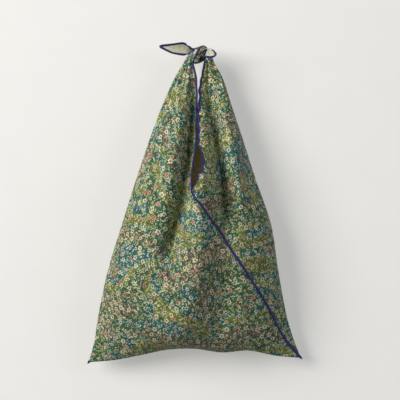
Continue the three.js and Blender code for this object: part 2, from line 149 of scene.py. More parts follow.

# %% [markdown]
# ## The broad folds
# Cloth that hangs from a knot falls into soft ridges and troughs that fan out from it. A cloth
# simulation would find some folds, but not this bag's own. So each fold is listed: it follows a
# line from (x1, z1) past (x2, z2) to (x3, z3), it is about "half" wide on each side of that line,
# and it stands "out" from the cloth, or sinks into it where "out" is negative.

# %% Folds of the front and the back
FOLD_COLUMNS = ("x1", "z1", "x2", "z2", "x3", "z3", "half", "out")
FRONT_FOLDS = [
    (-20, -10, -42, -135, -64, -335, 20, 13),  # left handle's crest
    (-10, -36, -6, -185, -54, -326, 18, -37),  # trough from the slit down to the left
    (-7, -232, 18, -330, -25, -440, 30, 17),  # ridge below the mouth
    (22, -240, 52, -350, 34, -448, 24, -15),  # trough beside that ridge
    (-1, -20, -3, -110, 4, -215, 13, 10),  # the slit's right lip stands forward
    (15, -12, 30, -106, 50, -260, 17, -34),  # right handle's trough
    (38, -34, 57, -115, 76, -235, 14, 12),  # right handle's crest
]
BACK_FOLDS = [
    (-14, -10, -40, -150, -95, -330, 14, 3),
    (14, -10, 45, -150, 90, -330, 14, 3),
    (-5, -60, -18, -190, -50, -420, 18, -5),
    (24, -190, 40, -300, 35, -440, 18, -4),
]
FOLD_STEPS = 16
FOLD_HEIGHTS = 0.6  # how much a height counts in a point's distance from a fold, next to a width


def folds_at(folds, x, z):
    """How far the folds move the cloth outwards at each (x, z), in millimetres."""
    out = np.zeros_like(x)
    t = np.linspace(0, 1, FOLD_STEPS + 1)
    for row in folds:
        f = dict(zip(FOLD_COLUMNS, row))
        line_x = (1 - t) ** 2 * f["x1"] + 2 * (1 - t) * t * f["x2"] + t**2 * f["x3"]
        line_z = (1 - t) ** 2 * f["z1"] + 2 * (1 - t) * t * f["z2"] + t**2 * f["z3"]
        nearest = np.full_like(x, np.inf)
        for k in range(FOLD_STEPS):  # to the nearest point of each short straight stretch
            run_x, run_z = line_x[k + 1] - line_x[k], (line_z[k + 1] - line_z[k]) * FOLD_HEIGHTS
            off_x, off_z = x - line_x[k], (z - line_z[k]) * FOLD_HEIGHTS
            share = ((off_x * run_x + off_z * run_z) / (run_x**2 + run_z**2)).clip(0, 1)
            apart = (off_x - share * run_x) ** 2 + (off_z - share * run_z) ** 2
            nearest = np.minimum(nearest, apart)
        out += f["out"] * np.exp(-nearest / f["half"] ** 2)
    return out


print(len(FRONT_FOLDS), "folds in front,", len(BACK_FOLDS), "behind")


# %% Where a point of the bag hangs
FOLDS_START = 0.12  # how far above the bottom fold the folds are at their full depth
FOLDS_END = 0.28  # how far under the knot they begin to fade


def place(face, side, up, out):
    """The place of points on one face (FRONT or BACK) and one side (-1 left, 1 right), in mm."""
    side_x, side_z = ("left_x", "left_z") if side < 0 else ("right_x", "right_z")
    middle_x = curve(face, "up", "x", up)
    slit_x = curve(face, "slit_up", side_x, up)
    edge_x = np.where(up > 1, slit_x, middle_x)
    edge_y, edge_z = curve(face, "up", "y", up), curve(face, "up", "z", up)
    fold_x, fold_z = curve(SIDES, "up", side_x, up), curve(SIDES, "up", side_z, up)
    fold_y = curve(SIDES, "up", "y", up)
    turn = np.radians(curve(face, "up", "turn", up))
    x = edge_x + (fold_x - edge_x) * np.sin(out * turn) / np.sin(turn)
    rise = (np.cos(out * turn) - np.cos(turn)) / (1 - np.cos(turn))
    y = fold_y + (edge_y - fold_y) * rise
    z = fold_z + (edge_z - fold_z) * (1 - out * out)
    hem_middle, hem_corner = curve(HEM, "across", "z", 0), curve(HEM, "across", "z", side)
    straight = hem_middle + (hem_corner - hem_middle) * out * out
    z = z + (curve(HEM, "across", "z", side * out) - straight) * np.maximum(1 - up, 0) ** HEM_FADE
    folds = folds_at(FRONT_FOLDS if face is FRONT else BACK_FOLDS, x, z)
    calm = (1 - out**4) * smooth(up / FOLDS_START) * smooth((KNOT_UP - up) / FOLDS_END)
    return np.stack([x, y + face["outwards"] * folds * calm, z], axis=-1)


print("foot of the front slit:", place(FRONT, 1, np.array([1.0]), np.array([0.0])).round()[0], "mm")

# %% [markdown]
# ## The knot
# Above "up" = 1.65 each handle is gathered into a strand, which goes in below, round the other
# strand and out above. The strand is the same sheet of cloth, rolled so that its two raw edges
# meet, and it opens again into a leaf-shaped corner, whose pale reverse shows. So each row below is
# one place on the strand's middle line, in millimetres, from the top of the handle to the tip. The
# upper rim of the right leaf rolls back, which shows a little of its print.

# %% The two strands
COURSES = {  # the strand's middle, then the way that its raw edges face
    -1: [
        (-18.5, 1, 9, 1, 0, 0),
        (-15.5, 2, 15.5, 0.8, 0, -0.6),
        (-10.5, 1, 20, 0.4, -0.1, -0.9),
        (-4, -2.5, 21, 0, -0.3, -1),
        (2, -4.5, 20.5, 0.1, -0.4, -0.9),
        (8, -3, 19.5, 0.4, -0.3, -0.85),
        (13, 2.5, 19.5, 0.6, 0.2, -0.7),
        (15, 6, 23, 0.4, 0.9, 0),
        (13, 4.5, 27.5, 0.3, 0.6, 0.6),
        (9, -1, 29, 0, 0, 1),
        (4.5, -3, 29, -0.2, 0, 1),
        (-0.5, 1.5, 28, -0.2, -0.1, 1),
        (-6.5, 5, 27.5, 0, -0.5, 0.9),
    ],
    1: [
        (18.5, 1, 9, -1, 0, 0),
        (17, 1.5, 14.5, -0.9, 0, -0.4),
        (13, 4, 18.5, -0.4, 0.2, -0.9),
        (7.5, 6, 17.5, 0, 0, -1),
        (2, 7, 14, -0.2, 0.3, -0.9),
        (-3, 6, 11, -0.4, 0.3, -0.85),
        (-6.5, 2, 10, -0.6, 0, -0.8),
        (-7.5, -4, 12, -0.5, -0.7, -0.5),
        (-4.5, -8, 18.5, -0.1, -1, 0),
        (-0.5, -8, 25, -0.1, -1, 0.1),
        (3, -4.5, 30, -0.2, -0.7, 0.6),
        (7, 2, 31, 0, 0, 1),
        (11, 3, 29.5, 0.2, 0.2, 0.9),
        (12, -2.5, 27.5, 0, 0, 1),
    ],
}
TAILS = {  # the middle, half the width along x, y and z, and how deep the leaf is cupped
    -1: [
        (-12.5, 5, 27, 0.5, 0.5, 3, 0.5),
        (-18.5, 3, 28.5, 0.5, 0, 6.5, 2),
        (-25.5, 0, 30.8, 0.5, 0, 11.2, 4),
        (-36, -2.5, 31.2, 0.5, 0, 10.2, 4),
        (-48, -3, 31.2, 0, 0, 8.2, 3),
        (-61, -1, 33.6, 0, 0, 4.6, 1.5),
        (-73, 1.5, 36.3, 0, 0, 0.6, 0),
    ],
    1: [
        (9.5, -7.5, 24.5, 0, -0.5, 7, 0.5),
        (12.5, -13.5, 23.5, 0, 0, 9, 1.5),
        (17.5, -23, 22.2, 0.5, 0, 9.2, 2.5),
        (23, -32.5, 20.5, 0.5, 0, 8, 2),
        (28, -40.5, 18.5, 0.3, 0, 5, 1),
        (31.5, -47.5, 17, 0, 0, 0.6, 0),
    ],
}
CUP_WAY = {-1: (0, 1, 0), 1: (0.86, 0.51, 0)}  # the way that the middle of each leaf sinks
LEAF_OPENS = 3  # the strand opens into its leaf over this many rows
ROLLED_RIM = {  # the right leaf's upper rim rolls back: how far it moves, next to half its width
    "across": [-1, 0, 0.4, 0.6, 0.8, 1],
    "back": [0, 0, 0.02, 0.12, 0.35, 0.65],
    "rise": [0, 0, 0.2, 0.22, 0, -0.5],
}
print("rows for the left strand:", len(COURSES[-1]) + len(TAILS[-1]))

# %% Fine rows along each strand
STRAND_COLUMNS = ("x", "y", "z", "edge_x", "edge_y", "edge_z")
STRAND_COLUMNS += ("half_x", "half_y", "half_z", "cup", "leaf")
STRAND_STEPS = 400


def strand_table(side):
    """Fine rows along one strand: its middle, the way its raw edges face, and its leaf."""
    rows = [(*row, 0, 0, 0, 0, 0) for row in COURSES[side]]
    cup_x, cup_y, cup_z = CUP_WAY[side]
    for i, (x, y, z, *leaf) in enumerate(TAILS[side]):
        rows.append((x, y, z, -cup_x, -cup_y, -cup_z, *leaf, min((i + 1) / LEAF_OPENS, 1)))
    rows = np.array(rows, float)
    steps = np.linalg.norm(np.diff(rows[:, :3], axis=0), axis=1)
    table = dict(zip(STRAND_COLUMNS, rows.T), length=np.concatenate([[0], np.cumsum(steps)]))
    at = np.linspace(0, table["length"][-1], STRAND_STEPS)
    return {"length": at, **{c: curve(table, "length", c, at) for c in STRAND_COLUMNS}}


STRANDS = {side: strand_table(side) for side in (-1, 1)}
for side, strand in STRANDS.items():
    print("strand", side, "is", round(strand["length"][-1]), "mm long")

# %% Where a point of a strand lies
STRAND_RADIUS = 6
STRAND_FLAT = (0.9, 1.1)  # a wrap is flattened against the strand under it
ROLLED = 0.96 * math.pi  # how far round the strand each raw edge has come
STRAND_START = 0.035  # how far above the handle's top, in "up", the strand is rolled tight


def unit(v):
    """Vectors of length 1."""
    return v / np.linalg.norm(v, axis=-1, keepdims=True)


def place_strand(side, up, across):
    """The place of points above the handle's top; across is -1 and 1 on the two raw edges."""
    strand = STRANDS[side]
    at = (up - KNOT_UP) / (2 - KNOT_UP) * strand["length"][-1]

    def read(*columns):
        return np.stack([np.interp(at, strand["length"], strand[c]) for c in columns], axis=-1)

    ahead = unit(np.stack([np.gradient(strand[c]) for c in "xyz"], axis=-1))
    ahead = np.stack([np.interp(at, strand["length"], ahead[:, i]) for i in range(3)], axis=-1)
    middle, edge = read("x", "y", "z"), read("edge_x", "edge_y", "edge_z")
    fold_way = -unit(edge - ahead * (edge * ahead).sum(-1, keepdims=True))
    wide_way = side * unit(np.cross(ahead, fold_way))
    angle = across[:, None] * ROLLED
    rolled = STRAND_RADIUS * (
        STRAND_FLAT[0] * np.cos(angle) * fold_way + STRAND_FLAT[1] * np.sin(angle) * wide_way
    )
    cupped = read("cup") * (1 - across[:, None] ** 2) * np.array(CUP_WAY[side])
    open_leaf = across[:, None] * read("half_x", "half_y", "half_z") + cupped
    if side > 0:
        rim = [np.interp(across, ROLLED_RIM["across"], ROLLED_RIM[c]) for c in ("back", "rise")]
        open_leaf += np.stack([np.zeros_like(across), *rim], axis=-1) * read("half_z")
    leaf = smooth(read("leaf"))
    gathered = np.where(
        across[:, None] < 0,
        place(FRONT, side, np.full_like(up, KNOT_UP), 1 - abs(across)),
        place(BACK, side, np.full_like(up, KNOT_UP), 1 - abs(across)),
    ) - np.array([strand[c][0] for c in "xyz"])
    from_handle = smooth((up - KNOT_UP) / STRAND_START)[:, None]
    section = gathered + (rolled - gathered) * from_handle
    return middle + section + (open_leaf - section) * leaf


print("tip of the left end:", place_strand(-1, np.array([2.0]), np.array([0.0])).round()[0], "mm")

# %% [markdown]
# ## The sheet
# The cloth starts as what the maker cuts: a flat grid, three squares long. Each vertex of it is
# moved to where that point of the strip hangs. The two seams are where two edges of the strip come
# to the same place, so they share their vertices.

# %% The strip's own coordinates
CELLS = 120  # of the mesh, across the strip
STRIP_WIDTH = 0.36
STRIP_LENGTH_MM = 3 * STRIP_WIDTH / MM  # one unit of the UV map
COLUMNS, ROWS = 3 * CELLS + 1, CELLS + 1
column, row = (a.ravel() for a in np.meshgrid(range(COLUMNS), range(ROWS), indexing="ij"))
strip_x, strip_y = column / CELLS, row / CELLS


def grid_point(i, j):
    """The vertex in column i and row j of the strip, where a seam's two edges share theirs."""
    i, j = np.asarray(i), np.asarray(j)
    i = np.where((j == 0) & (i < CELLS), 2 * CELLS - i, i)
    i = np.where((j == CELLS) & (i > 2 * CELLS), 4 * CELLS - i, i)
    return i * ROWS + j


first_square = strip_x <= 1
sideways = np.where(first_square, strip_x + strip_y, 2 - strip_x - strip_y)
upwards = np.where(first_square, 1 + strip_y - strip_x, strip_x - 1 - strip_y)
behind = (sideways > 1) | (sideways < -1) | (upwards < 0)
sideways = np.where(sideways > 1, 2 - sideways, np.where(sideways < -1, -2 - sideways, sideways))
upwards = abs(upwards)
left = sideways < 0
outwards = np.where(
    upwards > 1,
    (abs(sideways) - (upwards - 1)) / np.maximum(2 - upwards, 1e-9),
    abs(sideways),
).clip(0, 1)
across = np.where(behind, 1 - outwards, outwards - 1)  # -1 and 1 on a handle's two raw edges
print(len(column), "points of the strip,", round(STRIP_WIDTH / MM / CELLS), "mm apart")

# %% Hang the strip
hung = np.zeros((len(column), 3))
for side in (-1, 1):
    for face, is_back in ((FRONT, False), (BACK, True)):
        here = (left == (side < 0)) & (behind == is_back) & (upwards <= KNOT_UP)
        hung[here] = place(face, side, upwards[here], outwards[here])
    here = (left == (side < 0)) & (upwards > KNOT_UP)
    hung[here] = place_strand(side, upwards[here], across[here])
print("lowest and highest point:", hung[:, 2].min().round(), hung[:, 2].max().round(), "mm")

# %% [markdown]
# ## Where the print lies on the cloth
# A UV map says which point of the print each point of the mesh shows. The strip's own coordinates
# would do for a flat bag. Here the handles are gathered, and they would squeeze the print into
# streaks, where on the real bag the spare cloth hides in the pleats. So the map is relaxed: the
# strip's grid is treated as a net of springs, each as long as it is on the hung bag, and the net
# settles in the plane. The print still runs with the threads and still breaks at a seam.

# %% The net of springs
NET_CELL = 5  # the net is coarser than the mesh, and its cells are filled in evenly
NET_WAYS = ((1, 0), (0, 1), (1, 1), (1, -1))  # springs along, across and on both diagonals


def net_ends(net, way):
    """The two ends of every spring that runs one way."""
    i, j = way
    if j < 0:
        return net[:-i, -j:], net[i:, :j]
    return net[: len(net) - i, : net.shape[1] - j], net[i:, j:]


def spring_lengths(points, net):
    """How long each spring is on the hung cloth, measured over its folds, cell by cell."""
    lengths = []
    for way in NET_WAYS:
        start, end = net_ends(points.reshape(COLUMNS, ROWS, 3), way)
        steps = np.linalg.norm(start - end, axis=-1)
        rows, columns = net_ends(net, way)[0].shape[:2]
        length = np.zeros((rows, columns))
        for k in range(NET_CELL):
            first_j = NET_CELL - 1 - k if way[1] < 0 else k * way[1]
            length += steps[k * way[0] :: NET_CELL, first_j::NET_CELL][:rows, :columns]
        lengths.append(length)
    return lengths


flat = np.stack([strip_x, strip_y], axis=-1).reshape(COLUMNS, ROWS, 2) * STRIP_WIDTH / MM
net = flat[::NET_CELL, ::NET_CELL].copy()
lengths = spring_lengths(hung[grid_point(column, row)], net)
print(sum(length.size for length in lengths), "springs")

# %% Relax the print's map
NET_TURNS = 2500
NET_PUSH = 1.2  # each turn moves a point a little past the middle of its pulls, to settle sooner


def settle(net, lengths):
    """Lets the springs pull the net's points until it lies evenly in the plane."""
    for _ in range(NET_TURNS):
        push, springs = np.zeros_like(net), np.zeros(net.shape[:2] + (1,))
        for way, length in zip(NET_WAYS, lengths):
            start, end = net_ends(net, way)
            apart = end - start
            now = np.linalg.norm(apart, axis=-1)
            share = apart * (0.5 * (1 - length / np.maximum(now, 1e-6)))[..., None]
            for pushed, sign in zip(net_ends(push, way), (1, -1)):
                pushed += sign * share
            for counted in net_ends(springs, way):
                counted += 1
        net += NET_PUSH * push / springs


def filled_in(net):
    """The net's place at each point of the strip, evenly between the net's own points."""
    at_i, at_j = column / NET_CELL, row / NET_CELL
    i = np.minimum(at_i.astype(int), net.shape[0] - 2)
    j = np.minimum(at_j.astype(int), net.shape[1] - 2)
    t, u = (at_i - i)[:, None], (at_j - j)[:, None]
    return (
        net[i, j] * (1 - t) * (1 - u)
        + net[i + 1, j] * t * (1 - u)
        + net[i, j + 1] * (1 - t) * u
        + net[i + 1, j + 1] * t * u
    )


settle(net, lengths)
print_map = filled_in(net)
print("the print covers", np.ptp(print_map, axis=0).round(), "mm")

# %% Make the sheet's mesh
def sheet_mesh(name, points):
    """A triangle mesh of the hung strip, with the relaxed print map as its UV map."""
    i, j = (a.ravel() for a in np.meshgrid(range(3 * CELLS), range(CELLS), indexing="ij"))
    corners = [(i, j), (i + 1, j), (i + 1, j + 1), (i, j + 1)]
    middle_square = (i >= CELLS) & (i < 2 * CELLS)  # the bottom fold runs the other way there
    triangles = []
    for one, other in (((0, 1, 2), (0, 2, 3)), ((0, 1, 3), (1, 2, 3))):
        chosen = middle_square if one == (0, 1, 2) else ~middle_square
        for triple in (one, other):
            triangles.append(np.stack([np.stack(corners[k])[:, chosen] for k in triple], axis=1))
    triangles = np.concatenate(triangles, axis=2).transpose(2, 1, 0)  # triangle, corner, (i, j)
    faces = grid_point(triangles[..., 0], triangles[..., 1])
    used, faces = np.unique(faces, return_inverse=True)
    mesh = bpy.data.meshes.new(name)
    mesh.from_pydata(points[used] * MM, [], faces.reshape(-1, 3).tolist())
    uv = mesh.uv_layers.new(name="print")
    at = print_map[triangles[..., 0] * ROWS + triangles[..., 1]] / STRIP_LENGTH_MM
    uv.data.foreach_set("uv", at.reshape(-1).astype(np.float32))
    mesh.update()
    return mesh, used


cloth_mesh, cloth_points = sheet_mesh("bag_cloth_sheet", hung)
cloth = bpy.data.objects.new("bag_cloth_sheet", cloth_mesh)
bpy.context.scene.collection.objects.link(cloth)
print(len(cloth_mesh.vertices), "vertices,", len(cloth_mesh.polygons), "triangles")


# %% The way that the cloth faces
def read_vectors(things, name):
    """One vector of each vertex (co or normal), as an array with a row each."""
    values = np.zeros(len(things) * 3, np.float32)
    things.foreach_get(name, values)
    return values.reshape(-1, 3).astype(float)


facing = np.zeros_like(hung)
facing[cloth_points] = read_vectors(cloth_mesh.vertices, "normal")
print("the front's middle faces", facing[grid_point(2 * CELLS - 40, 10)].round(2))

# %% [markdown]
# ## Gathers, creases and rippled edges
# The broad folds alone would look like rubber. Thin cotton also has narrow pleats that run out of
# the knot and die away down the handles, soft creases from being folded up, and small ripples where
# the overlock stitch pulls its edges. These three move the mesh itself along the way that the cloth
# faces, and the slits' edges also wander sideways. A bump in the material would be quicker, but it
# leaves the outline and the mesh smooth.

# %% Gathers
GATHERS = {  # how deep the pleats are at each height, in millimetres
    "up": [1, 1.12, 1.3, 1.5, 1.65, 1.72, 1.85, 2],
    "deep": [0, 0.6, 1.9, 2.7, 2.6, 1, 0.6, 0],
}
PLEATS = {  # how many pleats there are round a whole handle, where they start, and their share
    -1: [(5.3, 0.1, 0.55), (8.6, 0.45, 0.3), (13.1, 0.8, 0.15)],
    1: [(4.7, 0.6, 0.5), (9.4, 0.2, 0.35), (12.3, 0.35, 0.15)],
}


def gathers():
    """How far the pleats move each point of the strip outwards, in millimetres."""
    moved = np.zeros(len(column))
    for side, pleats in PLEATS.items():
        here = left == (side < 0)
        for count, start, share in pleats:
            moved[here] += share * np.sin(2 * math.pi * (count * across[here] / 2 + start))
    return moved * np.where(upwards > 1, curve(GATHERS, "up", "deep", upwards), 0)


print("pleats up to", max(GATHERS["deep"]), "mm deep")


# %% Creases
CREASES = [  # across and down in millimetres, then how deep, and whether it is a sharp line
    (64, 130, 2.6, False),
    (27, 60, 0.9, False),
    (48, 95, 1.5, True),
    (30, 38, 0.7, True),
]
CREASE_LEAN = 0.35  # how far they lean, one layer to the left and the next to the right
CREASE_SHARP = 6  # a sharp line is where the noise is within a sixth of zero
LAYER_APART = 17  # so that no two layers read the same noise


def creases(points):
    """Soft hollows and folded lines, from noise that is stretched the way that the cloth hangs."""
    moved = np.zeros(len(points))
    for k, (wide, tall, deep, sharp) in enumerate(CREASES):
        lean = (-1) ** k * CREASE_LEAN
        for i, (x, y, z) in enumerate(points):
            at = Vector((x / wide, y / wide + LAYER_APART * k, (z + lean * x) / tall))
            value = noise.noise(at)
            if sharp:
                value = max(1 - CREASE_SHARP * abs(value), 0)
            moved[i] += deep * value
    return moved


print(len(CREASES), "layers of creases")

# %% Rippled edges
RIPPLE = 12  # from one ripple to the next, in millimetres
RIPPLE_DEEP = 0.7
RIPPLE_REACH = 8  # how far a ripple goes into the cloth
RIPPLE_UNEVEN = (1.5, 19)  # the most that one is shifted, in radians, and over what length
RIPPLE_FADE = (0.15, 0.1)  # they fade out at the bottom fold and under the knot, in "up"
SEAM_LEAN = (0.54, 0.84)  # the way that a seam runs, across and down


def ripples(points):
    """Small waves along the sewn edges, in millimetres."""
    from_edge = np.minimum.reduce([strip_x, 3 - strip_x, strip_y, 1 - strip_y]) * STRIP_WIDTH / MM
    along = np.where(behind, -1, 1) * SEAM_LEAN[0] * points[:, 0] - SEAM_LEAN[1] * points[:, 2]
    shift, shift_length = RIPPLE_UNEVEN
    waves = np.sin(2 * math.pi * along / RIPPLE + shift * np.sin(along / shift_length))
    at_fold, at_knot = RIPPLE_FADE
    calm = (1 - outwards**4) * smooth((KNOT_UP - upwards) / at_knot) * smooth(upwards / at_fold)
    return RIPPLE_DEEP * waves * np.exp(-((from_edge / RIPPLE_REACH) ** 2)) * calm


print("ripples", RIPPLE, "mm apart along the seams and slits")

# %% The slits' wandering edges
SLIT_WAVES = {  # how far an edge of a slit wanders sideways, in what length, and where it starts
    -1: (0.7, 33, 0.4),
    1: (1.4, 19, 2),
}
SLIT_REACH = 14  # how far into the cloth an edge takes it along
SLIT_UNEVEN = (1.2, 23)  # as for the ripples
SLIT_FADE = (0.1, 0.15)  # they fade out at the foot of the slit and under the knot


def slit_waves(points):
    """How far the slits' edges wander sideways, in mm, because their thread pulls unevenly."""
    moved = np.zeros(len(points))
    from_edge = outwards * (2 - upwards) * STRIP_WIDTH / MM / math.sqrt(2)
    shift, shift_length = SLIT_UNEVEN
    at_foot, at_knot = SLIT_FADE
    for side, (deep, length, start) in SLIT_WAVES.items():
        here = (left == (side < 0)) & (upwards > 1)
        along, up = points[here, 2], upwards[here]
        waves = np.sin(2 * math.pi * along / length + start + shift * np.sin(along / shift_length))
        ends = smooth((up - 1) / at_foot) * smooth((KNOT_UP - up) / at_knot)
        moved[here] = deep * waves * ends * np.exp(-((from_edge[here] / SLIT_REACH) ** 2))
    return moved


print("a slit's edge wanders up to", max(deep for deep, _, _ in SLIT_WAVES.values()), "mm")

# %% Move the cloth
CREASE_ROOM = 22  # millimetres between front and back; where there is less, creases are shallower
CREASES_FADE = (1.4, 1.75)  # they fade out in the handles, from the first height to the second
depth = np.zeros(len(column))
for side in (-1, 1):
    here = (left == (side < 0)) & (upwards <= KNOT_UP)
    both = [place(face, side, upwards[here], outwards[here])[:, 1] for face in (FRONT, BACK)]
    depth[here] = both[1] - both[0]
fade_from, fade_to = CREASES_FADE
calm = smooth(depth / CREASE_ROOM) * smooth((fade_to - upwards) / (fade_to - fade_from))
moved = creases(hung) * calm + gathers() + ripples(hung)
hung += facing * moved[:, None]
hung[:, 0] += slit_waves(hung)
cloth_mesh.vertices.foreach_set("co", (hung[cloth_points] * MM).reshape(-1).astype(np.float32))
cloth_mesh.update()
facing[cloth_points] = read_vectors(cloth_mesh.vertices, "normal")
on_sheet = moved[cloth_points]
print("moved by", on_sheet.min().round(1), "to", on_sheet.max().round(1), "mm")

# %% [markdown]
# ## The purple edging
# Every raw edge is overlocked: a machine wraps thread over it, close together, as a band about 4 mm
# wide. At the slits the band clasps the edge, and along the two seams it lies on top of the cloth.
# Here each band is a flattened tube swept along its row of mesh points, with a ridge for each wrap
# of thread. A curve with a bevel would be quicker, but it can't turn with the cloth, and its wraps
# would be flat.

# %% The four raw edges and the two corners above the knot
KNOT_CELL = round((KNOT_UP - 1) * CELLS)


def edge_row(i, j, inside_i, inside_j):
    """The grid points along an edge, and those one cell inside it."""
    i, j = np.broadcast_arrays(i, j)
    return grid_point(i, j), grid_point(i + inside_i, j + inside_j)


def joined(*rows):
    """Two edge rows as one; the corner that they share is kept once."""
    return tuple(np.concatenate([rows[0][k], rows[1][k][1:]]) for k in (0, 1))


down = np.arange(KNOT_CELL, -1, -1)  # from the knot to the foot of a slit
up_tail = np.arange(KNOT_CELL, CELLS + 1)
EDGES = {  # the row of points, and where the band comes to lie on top of a seam
    "edging_long_front": (edge_row(np.arange(2 * CELLS + KNOT_CELL, CELLS - 1, -1), 0, 0, 1), True),
    "edging_short_front": (edge_row(0, down, 1, 0), False),
    "edging_long_back": (edge_row(np.arange(CELLS - KNOT_CELL, 2 * CELLS + 1), CELLS, 0, -1), True),
    "edging_short_back": (edge_row(3 * CELLS, CELLS - down, -1, 0), False),
    "edging_left_tail": (
        joined(
            edge_row(2 * CELLS + up_tail, 0, 0, 1),
            edge_row(3 * CELLS, np.arange(CELLS - KNOT_CELL + 1), -1, 0),
        ),
        False,
    ),
    "edging_right_tail": (
        joined(
            edge_row(0, up_tail, 1, 0),
            edge_row(np.arange(CELLS - KNOT_CELL + 1), CELLS, 0, -1),
        ),
        False,
    ),
}
print({name: len(rows[0]) for name, (rows, seam) in EDGES.items()}, "points")

# %% The line that a band follows
BAND_INSET = 0.9  # how far its middle is inside the raw edge, in millimetres
BAND_LIFT = 1.3  # how far it stands out from a seam
BAND_STEP = 0.6  # between two rings of its mesh
TIP_LENGTH = 3  # the ends of the thread stand past a corner
EDGE_SOFTENED, FACING_SOFTENED = 2, 3  # how often each is evened out
SEAM_CELLS = 4  # the band moves onto the cloth over so many cells, at the foot of the slit


def even_steps(along, values, steps):
    """Rows of values, read at even steps along their line."""
    return np.stack([np.interp(steps, along, values[:, k]) for k in range(3)], axis=-1)


def softened(values, times):
    """The same row of points, with each one moved towards the mean of its neighbours."""
    for _ in range(times):
        values = values.copy()
        values[1:-1] = values[1:-1] / 2 + (values[:-2] + values[2:]) / 4
    return values


def band_line(row, inside, on_seam):
    """The band's middle, the way that it faces, and how far along it each step is, in mm."""
    edge, inner = (softened(hung[points], EDGE_SOFTENED) for points in (row, inside))
    ahead = unit(np.gradient(edge, axis=0))
    inwards = inner - edge
    inwards = unit(inwards - ahead * (inwards * ahead).sum(-1, keepdims=True))
    out = np.cross(ahead, inwards)
    out *= np.sign((out * facing[row]).sum())
    seam = np.zeros((len(row), 1))
    if on_seam:
        seam[:, 0] = smooth((np.arange(len(row)) - KNOT_CELL) / SEAM_CELLS + 0.5)
    middle = edge + inwards * BAND_INSET * (1 - seam) + facing[row] * BAND_LIFT * seam
    out = unit(softened(out * (1 - seam) + facing[row] * seam, FACING_SOFTENED))
    if on_seam:
        middle = np.vstack([middle, middle[-1] + ahead[-1] * TIP_LENGTH])
        out = np.vstack([out, out[-1]])
    along = np.concatenate([[0], np.cumsum(np.linalg.norm(np.diff(middle, axis=0), axis=1))])
    steps = np.linspace(0, along[-1], round(along[-1] / BAND_STEP) + 1)
    return even_steps(along, middle, steps), unit(even_steps(along, out, steps)), steps


LINES = {name: band_line(*rows, on_seam) for name, (rows, on_seam) in EDGES.items()}
print({name: round(steps[-1]) for name, (middle, out, steps) in LINES.items()}, "mm of band")

# %% Wrap thread round each line
BAND_HALF = (2.3, 1.0)  # half its width and half its thickness, in millimetres
BAND_SIDES = 10
WRAP = 2.4  # from wrap to wrap; the real 1 mm is too fine to show, so it is drawn coarser
WRAP_DEEP = 0.09  # next to the band's own thickness
TAPER = 1.5  # the band's ends are rounded over this length
TAPER_LEAST = 0.04
CAP_TURN = 0.25  # the place round the band that its end caps read


def band_rings(middle, out, steps):
    """Rings of points round the line, each a flat oval that swells and shrinks with the wraps."""
    ahead = unit(np.gradient(middle, axis=0))
    wide = unit(np.cross(ahead, out))
    out = np.cross(wide, ahead)
    turn = 2 * math.pi * np.arange(BAND_SIDES) / BAND_SIDES
    ends = np.minimum(steps, steps[-1] - steps)
    full = np.sqrt(np.clip(ends / TAPER, TAPER_LEAST, 1))[:, None]
    full = full * (1 + WRAP_DEEP * np.sin(2 * math.pi * steps[:, None] / WRAP + turn))
    return middle[:, None] + full[..., None] * (
        BAND_HALF[0] * np.cos(turn)[:, None] * wide[:, None]
        + BAND_HALF[1] * np.sin(turn)[:, None] * out[:, None]
    )


def band_mesh(name, rings, steps):
    """A closed mesh over the rings, with a UV map that is metres along it and turns round it."""
    count = len(steps)
    k, m = (a.ravel() for a in np.meshgrid(range(count - 1), range(BAND_SIDES), indexing="ij"))
    after = (m + 1) % BAND_SIDES
    quads = np.stack([k, k, k + 1, k + 1]) * BAND_SIDES + np.stack([m, after, after, m])
    last = (count - 1) * BAND_SIDES
    caps = [list(range(BAND_SIDES))[::-1], [last + n for n in range(BAND_SIDES)]]
    mesh = bpy.data.meshes.new(name)
    mesh.from_pydata(rings.reshape(-1, 3) * MM, [], quads.T.tolist() + caps)
    round_it = np.stack([m, m + 1, m + 1, m]) / BAND_SIDES
    lengths = np.stack([steps[k], steps[k], steps[k + 1], steps[k + 1]]) * MM
    side_uv = np.stack([lengths, round_it], axis=-1).transpose(1, 0, 2).reshape(-1)
    cap_uv = [np.tile([length, CAP_TURN], BAND_SIDES) for length in (0, steps[-1] * MM)]
    uv = mesh.uv_layers.new(name="thread")
    uv.data.foreach_set("uv", np.concatenate([side_uv, *cap_uv]).astype(np.float32))
    mesh.polygons.foreach_set("use_smooth", [True] * len(mesh.polygons))
    mesh.update()
    return mesh


bands = {}
for name, (middle, out, steps) in LINES.items():
    mesh = band_mesh(name + "_thread", band_rings(middle, out, steps), steps)
    bands[name] = bpy.data.objects.new(mesh.name, mesh)
    bpy.context.scene.collection.objects.link(bands[name])
print("triangles in the bands:", sum(2 * len(b.data.polygons) for b in bands.values()))

# %% [markdown]
# ## Smooth shading and thickness
# Lawn is thin, about 0.15 mm, and its real thickness wouldn't show. Solidify gives the sheet 0.8
# mm, so that it is a closed body with a printed outside and a pale inside, each with its own
# material slot. Its direction is centred on the sheet, so that the cloth stays where the CAD solid
# is.

# %% Give the cloth its thickness
CLOTH_THICK = 0.0008
PRINTED_SLOT, REVERSE_SLOT = 0, 1
bpy.context.view_layer.objects.active = cloth
cloth.select_set(True)
bpy.ops.object.shade_smooth()
solidify = cloth.modifiers.new("thickness", "SOLIDIFY")
solidify.thickness = CLOTH_THICK
solidify.offset = 0
solidify.material_offset = REVERSE_SLOT
solidify.material_offset_rim = PRINTED_SLOT
for name in ("cotton_lawn_printed", "cotton_lawn_reverse"):  # their nodes come in a later cell
    cloth.data.materials.append(bpy.data.materials.new(name))
bpy.ops.object.modifier_apply(modifier=solidify.name)
cloth.select_set(False)
print("closed sheet:", len(cloth.data.polygons), "faces")

# %% [markdown]
# ## Materials
# A material in Blender is a graph of nodes. The helper below adds one node of any kind, with its
# settings and the links that come into it, and gives back one of its outputs. So each graph reads
# from top to bottom like a recipe. Colours are written as sRGB hex values, as a dye chart gives
# them, and turned to the linear values that the renderer adds up.

